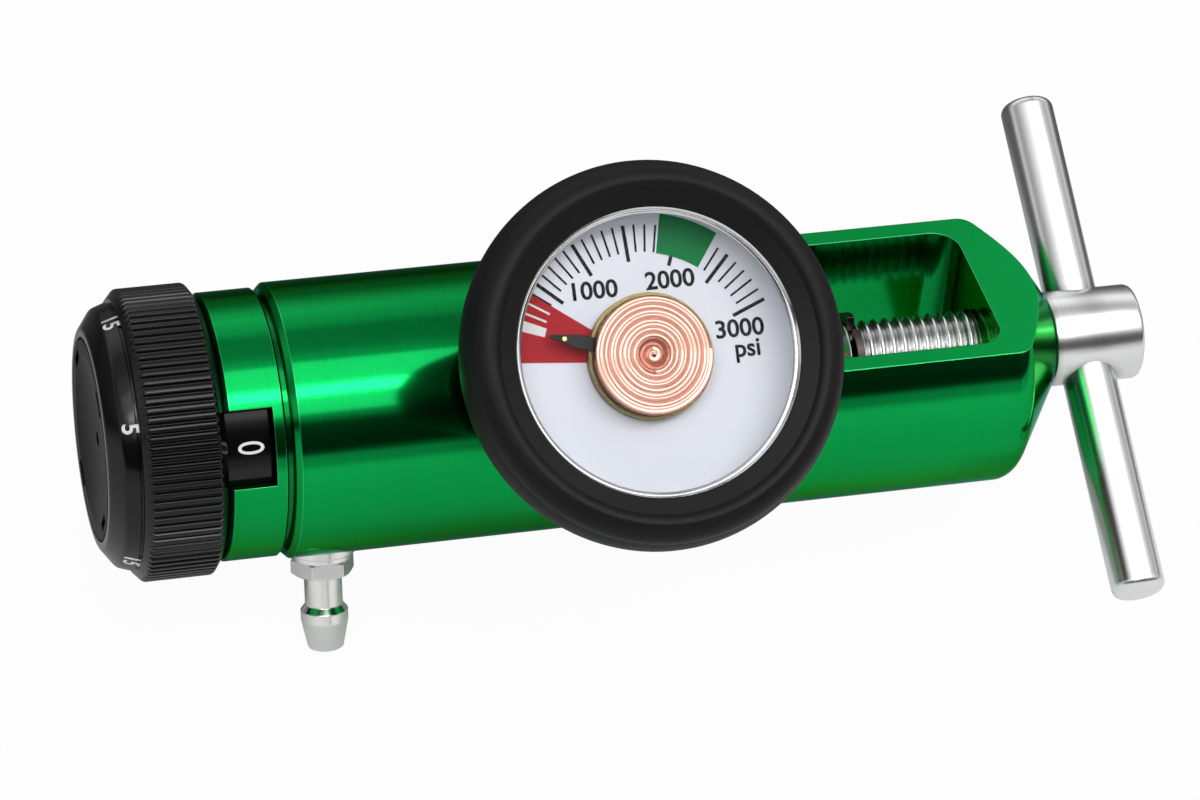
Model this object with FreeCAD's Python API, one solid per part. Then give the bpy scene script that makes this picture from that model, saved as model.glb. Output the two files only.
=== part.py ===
import FreeCAD, Part
import math
import os

V = FreeCAD.Vector
ORIGIN = V(0, 0, 0)
X_AXIS = V(1, 0, 0)
Z_AXIS = V(0, 0, 1)

# Oxygen regulator with a pin-indexed yoke, in millimetres. X runs along the body from the knob (-X)
# to the tee handle (+X), and X = 0 is the inlet seat face, the left wall of the yoke's window. The
# cylinder's valve post passes through the window along Z. Angles are swung from +Z towards -Y.

# Yoke body, turned from 35 mm bar and milled
body_r = 17.5
body_reach = 54.5
body_edge = 0.7
post_width = 22.2
post_side_play = 0.55
window_length = 38.5
window_corner_r = 3.5
frame_offset = 4.0
flat_height = 10.3
flat_lead = 3.0
cone_offset = 2.4
cone_length = 7.0
cone_end_r = 7.0
cone_edge_r = 2.6
vent_r = 0.6
vent_angle = 232.0

# Clamp screw, its hub and the tee bar
thread_r = 5.0
thread_play = 0.06
screw_reach = 19.5
screw_tip_r = 2.4
screw_tip_taper = 2.0
hub_r = 6.2
hub_length = 12.4
hub_gap = 0.3
hub_edge = 0.6
tee_r = 3.5
tee_length = 70.0
tee_shift = 1.2
tee_station = 5.4
tee_angle = -61.5
tee_edge = 1.2
clip_groove_depth = 1.0
clip_proud = 1.2
clip_thickness = 1.0
clip_play = 0.06
clip_mouth = 2.4
clip_setback = 2.4

# Inlet nipple with its filter, rings, sealing washer and index pins
nipple_flange_r = 7.0
nipple_flange_thickness = 2.0
nipple_nose_r = 3.1
nipple_nose_length = 5.5
nipple_nose_edge = 0.4
nipple_shank_r = 5.0
nipple_shank_end = 17.3
nipple_bore_r = 1.0
nozzle_length = 1.05
nozzle_r = 1.1
nozzle_root_r = 1.7
nozzle_orifice_r = 0.6
gallery_depth = 1.0
gallery_width = 2.4
filter_r = 1.8
filter_length = 4.5
filter_setback = 0.5
inlet_ring_wire_r = 0.6
inlet_ring_spacing = 3.0
washer_r = 6.4
washer_thickness = 2.4
washer_shell_wall = 1.4
washer_shell_set = 0.2
washer_nose_play = 0.05
nose_relief = 0.2
index_radius = 14.3
index_angle = 18.0
index_pin_r = 2.0
index_shank_r = 1.75
index_root = 0.3
index_pin_reach = 6.0
index_pin_depth = 7.5
index_pin_edge = 0.6

# Pressure-reducing stage
bore_wall = 5.0
seat_chamber_r = 4.2
seat_chamber_end = 23.0
guide_length = 4.0
stem_r = 3.0
stem_play = 0.06
stem_bore_r = 0.9
stem_port_r = 0.5
stem_port_setback = 2.4
seat_r = 1.9
seat_thickness = 1.3
piston_stroke = 0.8
seat_closed_gap = 0.05
piston_head_length = 4.5
piston_play = 0.08
piston_dish_r = 9.5
piston_dish_depth = 0.8
piston_stop_gap = 0.1
piston_ring_wire_r = 0.8
stem_ring_wire_r = 0.5
ring_squeeze_gap = 0.03
spring_wire_r = 0.8
spring_mean_r = 9.0
spring_turns = 4.5

# Flow core, orifice disc and selector shaft
core_setback = 3.6
core_length = 9.2
outlet_setback = 5.9
outlet_angle = 158.0
port_inset = 4.0
port_hole_r = 0.9
port_seal_wire_r = 0.45
feed_inset = 1.2
feed_hole_r = 0.9
pivot_r = 1.5
pivot_length = 4.0
pivot_play = 0.05
disc_side_play = 2.3
disc_thickness = 0.8
disc_gap = 0.05
positions = 12
smallest_orifice_r = 0.15
orifice_step = 0.05
shaft_r = 3.0
shaft_play = 0.05
shaft_square = 3.6
collar_r = 4.4
collar_length = 0.9
shaft_flat = 2.3
shaft_end_setback = 0.2
shaft_ring_wire_r = 0.6
shaft_ring_gap = 0.05

# Flow head, the sleeve that the number drum shows through
head_step = 0.5
head_length = 7.1
head_groove_width = 0.9
head_groove_depth = 1.1
sleeve_wall = 1.2
head_web = 1.5
head_hub_length = 4.7
head_ring_wire_r = 0.6
spigot_length = 1.6
notch_angle = 61.0
notch_half_angle = 17.0
head_edge = 0.25
head_screws = 3
head_screw_start = 98.0
head_screw_r = 0.8
head_screw_cap_r = 1.2
head_screw_cap_edge = 0.3
head_screw_slot_width = 0.4
head_screw_slot_depth = 0.35
head_screw_length = 6.0

# Detent ball between the head and the knob
detent_radius = 9.5
detent_angle = 241.0
ball_r = 1.2
ball_play = 0.1
ball_crest_gap = 0.05
ball_drop = 0.25
dimple_depth = 0.4
pocket_depth = 4.4
detent_wire_r = 0.15
detent_turns = 4.0

# Flow knob, its cap and its screw
skirt_play = 0.2
skirt_wall = 2.2
skirt_end_gap = 0.2
knob_gap = 0.35
knurl_proud = 0.96
knurl_back_foot_r = 16.7
knurl_back_chamfer = 1.25
knurl_width = 8.4
knurl_front_chamfer = 1.0
knurl_front_foot_r = 17.35
front_band_r = 17.0
front_band_width = 2.1
front_band_end_r = 16.3
front_bevel_width = 1.75
face_r = 13.9
knob_web = 3.0
knob_hub_r = 6.0
knob_hub_length = 5.5
cap_r = 12.9
cap_thickness = 1.9
cap_ledge = 0.9
cap_edge = 0.3
cap_dish_r = 10.8
cap_dish_depth = 0.95
cap_hole_r = 0.9
cap_slots = 4
cap_slot_length = 3.6
cap_slot_width = 1.3
cap_slot_radius = 11.2
cap_slot_start = 28.0
knob_screw_r = 1.25
knob_screw_length = 7.0
knob_screw_cap_r = 2.6
knob_screw_cap_height = 1.9
knob_screw_edge = 0.6
knob_screw_slot_width = 0.7
knob_screw_slot_depth = 0.8

# Hose barb at the outlet
barb_spot_depth = 0.5
barb_spot_r = 4.7
barb_washer_r = 4.3
barb_washer_thickness = 1.0
barb_thread_r = 2.0
barb_thread_length = 6.9
barb_bore_r = 1.2
barb_collar_r = 4.0
barb_collar_height = 0.7
barb_hex_flats = 7.1
barb_hex_height = 2.2
barb_neck_r = 2.43
barb_neck_length = 4.2
barb_ridge_r = 3.05
barb_ridge_rise = 0.8
barb_ridge_land = 1.3
barb_taper_length = 3.9
barb_tip_r = 2.35
barb_tip_round = 0.5

# Contents gauge on its own axis, stacked outwards from the flat that is spotted on the body
gauge_station = 13.6
gauge_angle = 45.0
gauge_spot_depth = 0.9
gauge_spot_r = 7.8
socket_thread_r = 4.85
socket_thread_length = 7.0
socket_square = 11.0
socket_square_lift = 0.6
socket_square_height = 4.6
socket_neck_length = 2.5
socket_neck_r = 4.5
socket_block_r = 5.0
socket_bore_r = 1.0
tube_r = 1.4
case_r = 19.4
case_wall = 0.8
dial_height = 11.2
dial_thickness = 0.6
dial_play = 0.3
cup_r = 7.75
cup_wall = 0.5
cup_height = 1.5
pointer_gap = 0.2
pointer_thickness = 0.35
pointer_hub_r = 5.5
pointer_play = 0.06
pointer_reach = 12.9
pointer_root_width = 1.7
pointer_rest_angle = 163.8
pointer_tip_width = 0.3
coil_gap = 0.25
coil_thickness = 1.2
coil_r = 7.35
coil_dip_r = 2.4
coil_dip = 0.6
crystal_gap = 0.1
crystal_thickness = 1.5
crystal_edge_play = 0.1
bezel_width = 2.05
bezel_height = 0.7
boot_hole_r = 9.0
boot_back_wall = 2.0
boot_back_step = -1.0
boot_shoulder_height = 1.9
boot_shoulder_wall = 0.6
boot_wide_drop = 3.0
boot_wide_wall = 4.35
boot_crest_height = 1.7
boot_crest_wall = 1.5
boot_lip_height = 0.2
boot_lip_set = 0.25

# Stations along X that the dimensions above give
body_left = -body_reach
window_half_width = post_width / 2 + post_side_play
cone_start = window_length + cone_offset
body_right = cone_start + cone_length
screw_tip = window_length - screw_reach
hub_left = body_right + hub_gap
hub_right = hub_left + hub_length
guide_right = -seat_chamber_end
guide_left = guide_right - guide_length
core_left = body_left + core_setback
core_right = core_left + core_length
outlet_station = body_left + outlet_setback
piston_left = core_right + piston_stop_gap
piston_shoulder = piston_left + piston_head_length
nozzle_tip = -nipple_shank_end - nozzle_length
stem_right = nozzle_tip - seat_closed_gap - piston_stroke
disc_right = core_left - disc_gap
disc_left = disc_right - disc_thickness
collar_left = disc_left - collar_length
spigot_right = body_left + spigot_length
head_right = body_left - head_groove_width
web_left = head_right - head_web
head_left = head_right - head_length
head_hub_left = web_left - head_hub_length
knob_right = head_left - knob_gap
knob_web_right = head_hub_left - knob_gap
knob_web_left = knob_web_right - knob_web
knob_hub_left = knob_web_left - knob_hub_length
knurl_right = knob_right - knurl_back_chamfer
knurl_left = knurl_right - knurl_width
band_right = knurl_left - knurl_front_chamfer
band_left = band_right - front_band_width
knob_face = band_left - front_bevel_width
shaft_left = knob_hub_left + shaft_end_setback

# Stations along the gauge's axis, measured from the body's axis
gauge_seat = body_r - gauge_spot_depth
gauge_thread_bottom = gauge_seat - socket_thread_length
square_start = gauge_seat + socket_square_lift
square_end = square_start + socket_square_height
case_back = square_end + socket_neck_length
dial_face = case_back + dial_height
dial_back = dial_face - dial_thickness
pointer_base = dial_face + cup_height + pointer_gap
coil_base = pointer_base + pointer_thickness + coil_gap
crystal_back = coil_base + coil_thickness + crystal_gap
crystal_top = crystal_back + crystal_thickness
bezel_top = crystal_top + bezel_height
boot_back = case_back - boot_back_wall
boot_shoulder = boot_back + boot_shoulder_height
boot_wide = bezel_top - boot_wide_drop
boot_crest = bezel_top + boot_crest_height
boot_lip = bezel_top + boot_lip_height

# Radii that fit into one another
bore_r = body_r - bore_wall
port_r = bore_r - port_inset
feed_r = bore_r - feed_inset
disc_r = bore_r - disc_side_play
barb_thread_end = body_r - barb_thread_length
head_r = body_r - head_step
sleeve_bore_r = head_r - sleeve_wall
skirt_r = sleeve_bore_r - skirt_play
skirt_bore_r = skirt_r - skirt_wall
head_hub_r = skirt_bore_r - skirt_play
head_screw_radius = (head_hub_r + sleeve_bore_r) / 2
knurl_r = body_r + knurl_proud
piston_r = bore_r - piston_play
bezel_bore_r = case_r - bezel_width
boot_back_r = case_r + boot_back_step
boot_shoulder_r = case_r + boot_shoulder_wall
boot_wide_r = case_r + boot_wide_wall
boot_crest_r = case_r + boot_crest_wall
boot_lip_r = bezel_bore_r + boot_lip_set


def section(steps):
    """Face in the XZ plane. A step is a point, or a point on an arc and the arc's end."""
    spots = [step if isinstance(step[0], tuple) else (None, step) for step in steps]
    edges = []
    start = spots[-1][1]
    for middle, end in spots:
        a, b = V(start[0], 0, start[1]), V(end[0], 0, end[1])
        if middle:
            edges.append(Part.Arc(a, V(middle[0], 0, middle[1]), b).toShape())
        else:
            edges.append(Part.makeLine(a, b))
        start = end
    return Part.Face(Part.Wire(edges))


def turned(*steps):
    """Solid of revolution about X from a half section of (x, radius) steps."""
    return section(steps).revolve(ORIGIN, X_AXIS, 360)


def spun(*steps):
    """Solid of revolution about Z from a half section of (radius, height) steps."""
    return section(steps).revolve(ORIGIN, Z_AXIS, 360)


def bar(left, right, radius, y=0.0, z=0.0):
    return Part.makeCylinder(radius, right - left, V(left, y, z), X_AXIS)


def upright(radius, low, high, x=0.0, y=0.0):
    return Part.makeCylinder(radius, high - low, V(x, y, low))


def block(low, high):
    return Part.makeBox(high[0] - low[0], high[1] - low[1], high[2] - low[2], V(*low))


def swung(shape, angle):
    """Swings a shape about the body's axis, from +Z towards -Y."""
    return shape.rotated(ORIGIN, X_AXIS, angle)


def on_gauge(shape):
    return swung(shape.translated(V(-gauge_station, 0, 0)), gauge_angle)


def at_outlet(shape):
    return swung(shape.translated(V(outlet_station, 0, 0)), outlet_angle)


def ring(station, mean_r, wire_r):
    return Part.makeTorus(mean_r, wire_r, V(station, 0, 0), X_AXIS)


def coil_spring(left, right, mean_r, wire_r, turns):
    """Round-wire spring along X between two seats."""
    rise = right - left - 2 * wire_r
    path = Part.Wire(Part.makeHelix(rise / turns, rise, mean_r))
    wire = Part.Wire(Part.makeCircle(wire_r, V(mean_r, 0, 0), V(0, 1, 0)))
    spring = path.makePipeShell([wire], True, True)
    return spring.rotated(ORIGIN, V(0, 1, 0), 90).translated(V(left + wire_r, 0, 0))


def hexagon(flats, low, high):
    """Hexagonal prism along Z with two corners on X."""
    corner = flats / math.sqrt(3)
    spots = [V(corner * math.cos(math.radians(60 * k)), corner * math.sin(math.radians(60 * k)), low)
             for k in range(7)]
    return Part.Face(Part.makePolygon(spots)).extrude(V(0, 0, high - low))


def window_cut():
    width = 2 * window_half_width
    box = block((0, -window_half_width, -body_r - 1), (window_length, window_half_width, body_r + 1))
    corner_r = min(window_corner_r, 0.45 * width)
    upright_edges = [edge for edge in box.Edges if abs(edge.tangentAt(edge.FirstParameter).z) > 0.99]
    return box.makeFillet(corner_r, upright_edges)


def body_blank():
    """Turned outside of the body: a cylinder that ends in a rounded cone, its seam along the rear rail."""
    fall = (body_r - cone_end_r) / cone_length
    half_turn = math.atan(fall) / 2
    tangent = cone_edge_r * math.tan(half_turn)
    arc_start = (cone_start - tangent, body_r)
    arc_end = (cone_start + tangent * math.cos(2 * half_turn), body_r - tangent * math.sin(2 * half_turn))
    arc_middle = (cone_start - tangent + cone_edge_r * math.sin(half_turn),
                  body_r - cone_edge_r * (1 - math.cos(half_turn)))
    blank = turned((body_left, 0), (body_left, body_r - body_edge), (body_left + body_edge, body_r),
                   arc_start, (arc_middle, arc_end), (body_right, cone_end_r), (body_right, 0))
    return swung(blank, -90)


def whole_yoke():
    body = body_blank()
    top = body_r + 1
    cuts = [
        window_cut(),
        block((-flat_lead, -top, flat_height), (body_right + 1, top, top)),
        bar(window_length - 1, body_right + 1, thread_r + thread_play),
        bar(body_left - 1, guide_left, bore_r),
        bar(guide_left - 1, guide_right + 1, stem_r + stem_play),
        bar(guide_right, -nipple_shank_end, seat_chamber_r),
        bar(-nipple_shank_end, 1, nipple_shank_r),
        bar(-nipple_flange_thickness, 1, nipple_flange_r),
        swung(upright(vent_r, bore_r - 1, top, x=guide_left - 3), vent_angle),
        on_gauge(upright(socket_thread_r, gauge_thread_bottom, top)),
        on_gauge(upright(socket_bore_r, nipple_shank_r - 1, gauge_thread_bottom + 1)),
        on_gauge(upright(gauge_spot_r, body_r - gauge_spot_depth, top)),
        at_outlet(upright(barb_thread_r, bore_r - 1, top)),
        at_outlet(upright(barb_spot_r, body_r - barb_spot_depth, top)),
    ]
    for y, z in index_places:
        cuts.append(bar(-index_pin_depth, 1, index_shank_r, y, z))
    for angle in head_screw_angles:
        cuts.append(swung(bar(body_left - 1, head_screw_right, head_screw_r, z=head_screw_radius), angle))
    for cut in cuts:
        body = body.cut(cut)
    return body


def yoke_side(left, right):
    """One end of the yoke, which is exported as a housing and a frame that meet past the window's corners."""
    return yoke.common(block((left, -body_r - 1, -body_r - 1), (right, body_r + 1, body_r + 1)))


def clamp_screw():
    """Screw and hub turned in one piece. The bar's hole goes through the hub."""
    groove_left = screw_tip + clip_setback
    groove_right = groove_left + clip_thickness + 2 * clip_play
    groove_r = thread_r - clip_groove_depth
    screw = turned((screw_tip, 0), (screw_tip, screw_tip_r), (screw_tip + screw_tip_taper, thread_r),
                   (groove_left, thread_r), (groove_left, groove_r), (groove_right, groove_r),
                   (groove_right, thread_r), (hub_left, thread_r), (hub_left, hub_r - hub_edge),
                   (hub_left + hub_edge, hub_r), (hub_right - hub_edge, hub_r),
                   (hub_right, hub_r - hub_edge), (hub_right, 0))
    return screw.cut(swung(upright(tee_r, -hub_r - 1, hub_r + 1, x=hub_left + tee_station), tee_angle))


def tee_bar():
    half = tee_length / 2
    rod = spun((0, -half), (tee_r - tee_edge, -half),
               ((tee_r - 0.3 * tee_edge, -half + 0.3 * tee_edge), (tee_r, -half + tee_edge)),
               (tee_r, half - tee_edge),
               ((tee_r - 0.3 * tee_edge, half - 0.3 * tee_edge), (tee_r - tee_edge, half)), (0, half))
    return swung(rod.translated(V(hub_left + tee_station, 0, -tee_shift)), tee_angle)


def screw_retaining_ring():
    """Snap ring in the groove near the tip. Its gap lets it spring over the thread."""
    left = screw_tip + clip_setback + clip_play
    inner = thread_r - clip_groove_depth + clip_play
    clip = bar(left, left + clip_thickness, thread_r + clip_proud)
    clip = clip.cut(bar(left - 1, left + clip_thickness + 1, inner))
    half = clip_mouth / 2
    mouth = block((left - 1, -half, 0), (left + clip_thickness + 1, half, thread_r + clip_proud + 1))
    return clip.cut(mouth)


def inlet_nipple():
    """Brass inlet: nose for the valve, flange, shank with the gauge gallery, and the seat nozzle."""
    gallery_left = -gauge_station - gallery_width / 2
    gallery_right = -gauge_station + gallery_width / 2
    gallery_r = nipple_shank_r - gallery_depth
    nipple = turned((nozzle_tip, 0), (nozzle_tip, nozzle_r), (-nipple_shank_end, nozzle_root_r),
                    (-nipple_shank_end, nipple_shank_r), (gallery_left, nipple_shank_r),
                    (gallery_left, gallery_r), (gallery_right, gallery_r),
                    (gallery_right, nipple_shank_r), (-nipple_flange_thickness, nipple_shank_r),
                    (-nipple_flange_thickness, nipple_flange_r), (0, nipple_flange_r),
                    (0, nose_waist_r), (nose_waist_end, nose_waist_r), (nose_waist_end, nipple_nose_r),
                    (nipple_nose_length - nipple_nose_edge, nipple_nose_r),
                    (nipple_nose_length, nipple_nose_r - nipple_nose_edge), (nipple_nose_length, 0))
    nipple = nipple.cut(bar(nozzle_tip - 1, -gauge_station, nozzle_orifice_r))
    nipple = nipple.cut(bar(-gauge_station, nipple_nose_length, nipple_bore_r))
    nipple = nipple.cut(bar(filter_left, nipple_nose_length + 1, filter_r))
    nipple = nipple.cut(on_gauge(upright(nipple_bore_r, 0, nipple_shank_r)))
    for groove in inlet_ring_stations:
        nipple = nipple.cut(square_groove(groove, nipple_shank_r, inlet_ring_wire_r, 0))
    return nipple


def inlet_ring(station):
    return ring(station, nipple_shank_r - inlet_ring_wire_r, inlet_ring_wire_r)


def inlet_filter():
    return turned((filter_left, 0), (filter_left, filter_r), (filter_left + filter_length, filter_r),
                  (filter_left + filter_length, 0))


def seal_washer_rubber():
    outer = washer_r - washer_shell_wall
    inner = nose_waist_r + washer_nose_play
    return turned((0, inner), (0, outer), (washer_thickness, outer), (washer_thickness, inner))


def seal_washer_shell():
    inner = washer_r - washer_shell_wall
    right = washer_thickness - washer_shell_set
    return turned((washer_shell_set, inner), (washer_shell_set, washer_r), (right, washer_r), (right, inner))


def index_pin(y, z):
    """Pressed-in pin with a thinner shank, undercut where it leaves the body."""
    pin = turned((-index_pin_depth, 0), (-index_pin_depth, index_shank_r), (index_root, index_shank_r),
                 (index_root, index_pin_r), (index_pin_reach - index_pin_edge, index_pin_r),
                 (index_pin_reach, index_pin_r - index_pin_edge), (index_pin_reach, 0))
    return pin.translated(V(0, y, z))


def piston():
    """Head in the big bore and a hollow stem that carries outlet pressure back to the head."""
    ring_groove = piston_left + piston_head_length / 2
    stem_groove = guide_left + guide_length / 2
    piston = turned((piston_left, 0), (piston_left, piston_r), (piston_shoulder, piston_r),
                    (piston_shoulder, stem_r), (stem_right, stem_r), (stem_right, 0))
    stem_bore_end = stem_right - stem_port_setback
    piston = piston.cut(bar(piston_left - 1, piston_left + piston_dish_depth, piston_dish_r))
    piston = piston.cut(bar(piston_left - 1, stem_bore_end + stem_port_r, stem_bore_r))
    piston = piston.cut(upright(stem_port_r, -stem_r - 1, stem_r + 1, x=stem_bore_end))
    piston = piston.cut(bar(stem_right - seat_thickness, stem_right + 1, seat_r))
    piston = piston.cut(square_groove(ring_groove, piston_r, piston_ring_wire_r, ring_squeeze_gap))
    return piston.cut(square_groove(stem_groove, stem_r, stem_ring_wire_r, ring_squeeze_gap))


def square_groove(station, outer_r, wire_r, set_in):
    """Ring to cut an outside groove that holds an O-ring's wire up to its outer edge."""
    floor_r = outer_r - 2 * wire_r - set_in
    half = wire_r * 1.1
    groove = bar(station - half, station + half, outer_r + 1)
    return groove.cut(bar(station - half, station + half, floor_r))


def piston_o_ring():
    return ring(piston_left + piston_head_length / 2, piston_r - piston_ring_wire_r, piston_ring_wire_r)


def stem_o_ring():
    return ring(guide_left + guide_length / 2, stem_r - stem_ring_wire_r, stem_ring_wire_r)


def piston_seat():
    return bar(stem_right - seat_thickness, stem_right, seat_r)


def regulating_spring():
    return coil_spring(piston_shoulder, guide_left, spring_mean_r, spring_wire_r, spring_turns)


def flow_core():
    """Brass core: feeds the disc from the reducing stage and takes metered gas to the barb."""
    core = bar(core_left, core_right, bore_r)
    seal_r = port_hole_r + 2 * port_seal_wire_r + 0.1
    port = [bar(core_left - 1, outlet_station, port_hole_r, z=port_r),
            bar(core_left - 1, core_left + 2 * port_seal_wire_r, seal_r, z=port_r)]
    for cut in port:
        core = core.cut(swung(cut, outlet_angle))
    core = core.cut(swung(bar(core_left - 1, core_right + 1, feed_hole_r, z=feed_r), outlet_angle + 180))
    core = core.cut(at_outlet(upright(barb_thread_r, barb_thread_end, bore_r + 1)))
    core = core.cut(at_outlet(upright(port_hole_r, port_r, barb_thread_end + 1)))
    return core.cut(bar(core_left - 1, core_left + pivot_length + 0.5, pivot_r + pivot_play))


def port_seal():
    mean = port_hole_r + port_seal_wire_r + 0.05
    seal = ring(core_left + port_seal_wire_r, mean, port_seal_wire_r).translated(V(0, 0, port_r))
    return swung(seal, outlet_angle)


def orifice_disc():
    """One blank place and eleven orifices, each the next setting's flow."""
    disc = bar(disc_left, disc_right, disc_r)
    half = shaft_square / 2
    disc = disc.cut(block((disc_left - 1, -half, -half), (disc_right + 1, half, half)))
    for setting in range(1, positions):
        orifice_r = smallest_orifice_r + orifice_step * (setting - 1)
        hole = bar(disc_left - 1, disc_right + 1, orifice_r, z=port_r)
        disc = disc.cut(swung(hole, outlet_angle - setting * 360 / positions))
    return disc


def selector_shaft():
    half = shaft_square / 2
    shaft = turned((shaft_left, 0), (shaft_left, shaft_r), (collar_left, shaft_r), (collar_left, collar_r),
                   (disc_left, collar_r), (disc_left, 0))
    shaft = shaft.fuse(block((disc_left, -half, -half), (disc_right, half, half)))
    shaft = shaft.fuse(bar(disc_right, core_left + pivot_length, pivot_r))
    shaft = shaft.cut(knob_flat())
    return shaft.cut(bar(shaft_left - 1, shaft_left + knob_screw_length + 0.5, knob_screw_r))


def knob_flat():
    """What the flat on the shaft's knob end takes away."""
    return block((shaft_left - 1, -shaft_r - 1, shaft_flat), (knob_web_right, shaft_r + 1, shaft_r + 1))


def shaft_o_ring():
    return ring(shaft_ring_station, shaft_r + shaft_ring_gap + shaft_ring_wire_r, shaft_ring_wire_r)


def flow_head():
    """Green head: spigot in the body, screwed web, hub for the shaft, and the windowed sleeve."""
    shoulder_r = head_r - head_groove_depth
    head = turned((spigot_right, 0), (spigot_right, bore_r), (body_left, bore_r), (body_left, shoulder_r),
                  (head_right, shoulder_r), (head_right, head_r - head_edge),
                  (head_right - head_edge, head_r), (head_left + head_edge, head_r),
                  (head_left, head_r - head_edge), (head_left, sleeve_bore_r), (web_left, sleeve_bore_r),
                  (web_left, head_hub_r), (head_hub_left, head_hub_r), (head_hub_left, 0))
    bearing_r = shaft_r + shaft_play
    head = head.cut(bar(head_hub_left - 1, spigot_right + 1, bearing_r))
    ring_room = bar(shaft_ring_station - 1.1 * shaft_ring_wire_r,
                    shaft_ring_station + 1.1 * shaft_ring_wire_r,
                    shaft_r + shaft_ring_gap + 2 * shaft_ring_wire_r)
    head = head.cut(ring_room)
    head = head.cut(square_groove(head_ring_station, bore_r, head_ring_wire_r, 0))
    head = head.cut(swung(bar(head_hub_left - 1, head_hub_left + pocket_depth, ball_r + ball_play,
                              z=detent_radius), detent_angle))
    for angle in head_screw_angles:
        head = head.cut(swung(head_screw_shape(1), angle))
    return head.cut(notch_cut())


def notch_cut():
    """Sector of the sleeve in front of the setting's number, open towards the knob."""
    width = math.radians(notch_half_angle)
    reach = head_r + 1
    low = sleeve_bore_r - 0.5 * skirt_play
    tube = bar(head_left - 1, web_left, reach).cut(bar(head_left - 1, web_left, low))
    side = 2 * reach * math.tan(width)
    wedge = Part.Face(Part.makePolygon([V(0, 0, 0), V(0, -side, 2 * reach), V(0, side, 2 * reach),
                                        V(0, 0, 0)])).extrude(V(head_length + 1, 0, 0))
    sector = tube.common(wedge.translated(V(head_left - 1, 0, 0)))
    return swung(sector, notch_angle)


def head_screw_shape(overrun=0):
    """Countersunk screw along X at its place above the axis, with the cap's overrun for a cut."""
    cap = head_screw_cap_r - head_screw_r
    cone = web_left + head_screw_cap_edge
    screw = turned((web_left - overrun, 0), (web_left - overrun, head_screw_cap_r),
                   (cone, head_screw_cap_r), (cone + cap, head_screw_r),
                   (head_screw_right, head_screw_r), (head_screw_right, 0))
    return screw.translated(V(0, 0, head_screw_radius))


def head_screw(angle):
    half = head_screw_slot_width / 2
    slot = block((web_left - 1, -body_r, head_screw_radius - half),
                 (web_left + head_screw_slot_depth, body_r, head_screw_radius + half))
    return swung(head_screw_shape().cut(slot), angle)


def head_o_ring():
    return ring(head_ring_station, bore_r - head_ring_wire_r, head_ring_wire_r)


def detent_ball():
    return swung(Part.makeSphere(ball_r, V(ball_centre, 0, detent_radius)), detent_angle)


def detent_spring():
    spring = coil_spring(ball_centre + 0.75 * ball_r, head_hub_left + pocket_depth, 0.75 * ball_r,
                         detent_wire_r, detent_turns)
    return swung(spring.translated(V(0, 0, detent_radius)), detent_angle)


def flow_knob():
    """Moulded knob: number skirt, grip ring, front band with numbers, web and hub."""
    knob = turned((skirt_right, skirt_bore_r), (skirt_right, skirt_r), (knob_right, skirt_r),
                  (knob_right, knurl_back_foot_r), (knurl_right, knurl_r), (knurl_left, knurl_r),
                  (band_right, knurl_front_foot_r), (band_right, front_band_r),
                  (band_left, front_band_end_r), (knob_face, face_r), (knob_face, 0),
                  (knob_web_right, 0), (knob_web_right, skirt_bore_r))
    cavity_r = cap_r - cap_ledge
    cavity = bar(knob_face - 1, knob_web_left, cavity_r).cut(bar(knob_hub_left, knob_web_left, knob_hub_r))
    knob = knob.cut(cavity)
    knob = knob.cut(bar(knob_face - 1, knob_face + cap_thickness, cap_r))
    knob = knob.cut(bar(knob_hub_left - 1, knob_web_right + 1, shaft_r).cut(knob_flat()))
    for step in range(positions):
        dimple = Part.makeSphere(ball_r + ball_play, V(dimple_centre, 0, detent_radius))
        knob = knob.cut(swung(dimple, detent_angle + step * 360 / positions))
    return knob


def knob_cap():
    """Pressed-in cap with a dished front, a centre hole and slots near its rim."""
    back = knob_face + cap_thickness
    floor = knob_face + cap_dish_depth
    cap = turned((back, 0), (back, cap_r), (knob_face + cap_edge, cap_r), (knob_face, cap_r - cap_edge),
                 (knob_face, cap_dish_r),
                 ((knob_face + 0.75 * cap_dish_depth, 0.55 * cap_dish_r), (floor, 0)))
    cap = cap.cut(bar(knob_face - 1, back + 1, cap_hole_r))
    for k in range(cap_slots):
        slot = block((knob_face - 1, -cap_slot_length / 2, cap_slot_radius - cap_slot_width / 2),
                     (back + 1, cap_slot_length / 2, cap_slot_radius + cap_slot_width / 2))
        cap = cap.cut(swung(slot, cap_slot_start + k * 360 / cap_slots))
    return cap


def knob_screw():
    top = knob_hub_left - knob_screw_cap_height
    end = shaft_left + knob_screw_length
    half = knob_screw_slot_width / 2
    screw = turned((top, 0), (top, knob_screw_cap_r - knob_screw_edge),
                   (top + knob_screw_edge, knob_screw_cap_r),
                   (knob_hub_left, knob_screw_cap_r), (knob_hub_left, knob_screw_r), (end, knob_screw_r),
                   (end, 0))
    return screw.cut(block((top - 1, -knob_screw_cap_r, -half),
                           (top + knob_screw_slot_depth, knob_screw_cap_r, half)))


def barb_washer():
    low = body_r - barb_spot_depth
    washer = upright(barb_washer_r, low, low + barb_washer_thickness)
    return at_outlet(washer.cut(upright(barb_thread_r, low - 1, low + barb_washer_thickness + 1)))


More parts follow.
